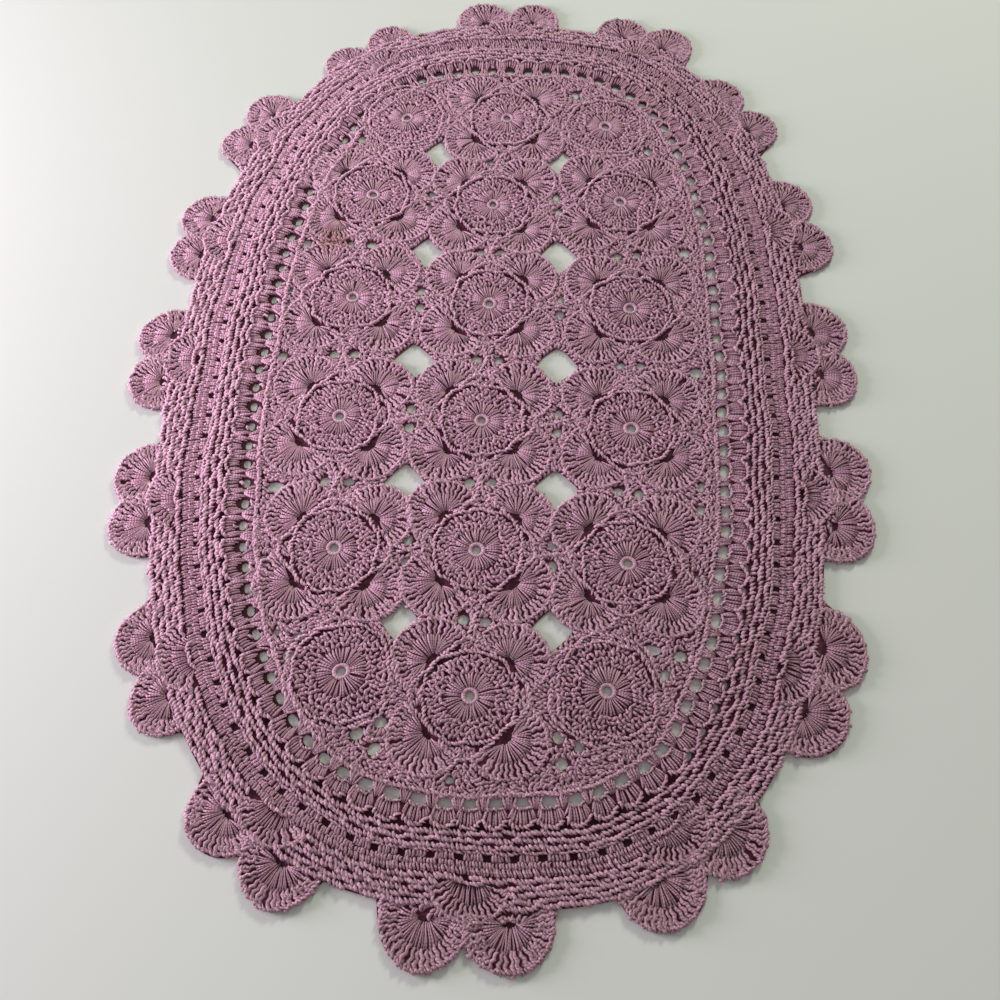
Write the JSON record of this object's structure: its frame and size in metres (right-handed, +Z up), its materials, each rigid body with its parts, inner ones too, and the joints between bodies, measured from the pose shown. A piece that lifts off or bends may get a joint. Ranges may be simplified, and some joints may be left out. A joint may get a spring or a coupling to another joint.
{
  "type": "crocheted lace doily",
  "caption": "Oval crocheted cotton doily lying flat, with round medallions and corner fans joined in rows, a chained border and scalloped edge.",
  "frame": {"origin": "middle of the doily's outline, on the surface it lies on", "axes": "+Y along the long axis, towards the far end of the picture; +X to the right; +Z up through the thickness"},
  "size_m": [0.312, 0.469, 0.0025],
  "materials": {
    "crochet_cotton": "matt mercerised cotton thread, dusty mauve"
  },
  "bodies": {
    "root": {"doily": "crochet_cotton"}
  },
  "joints": []
}
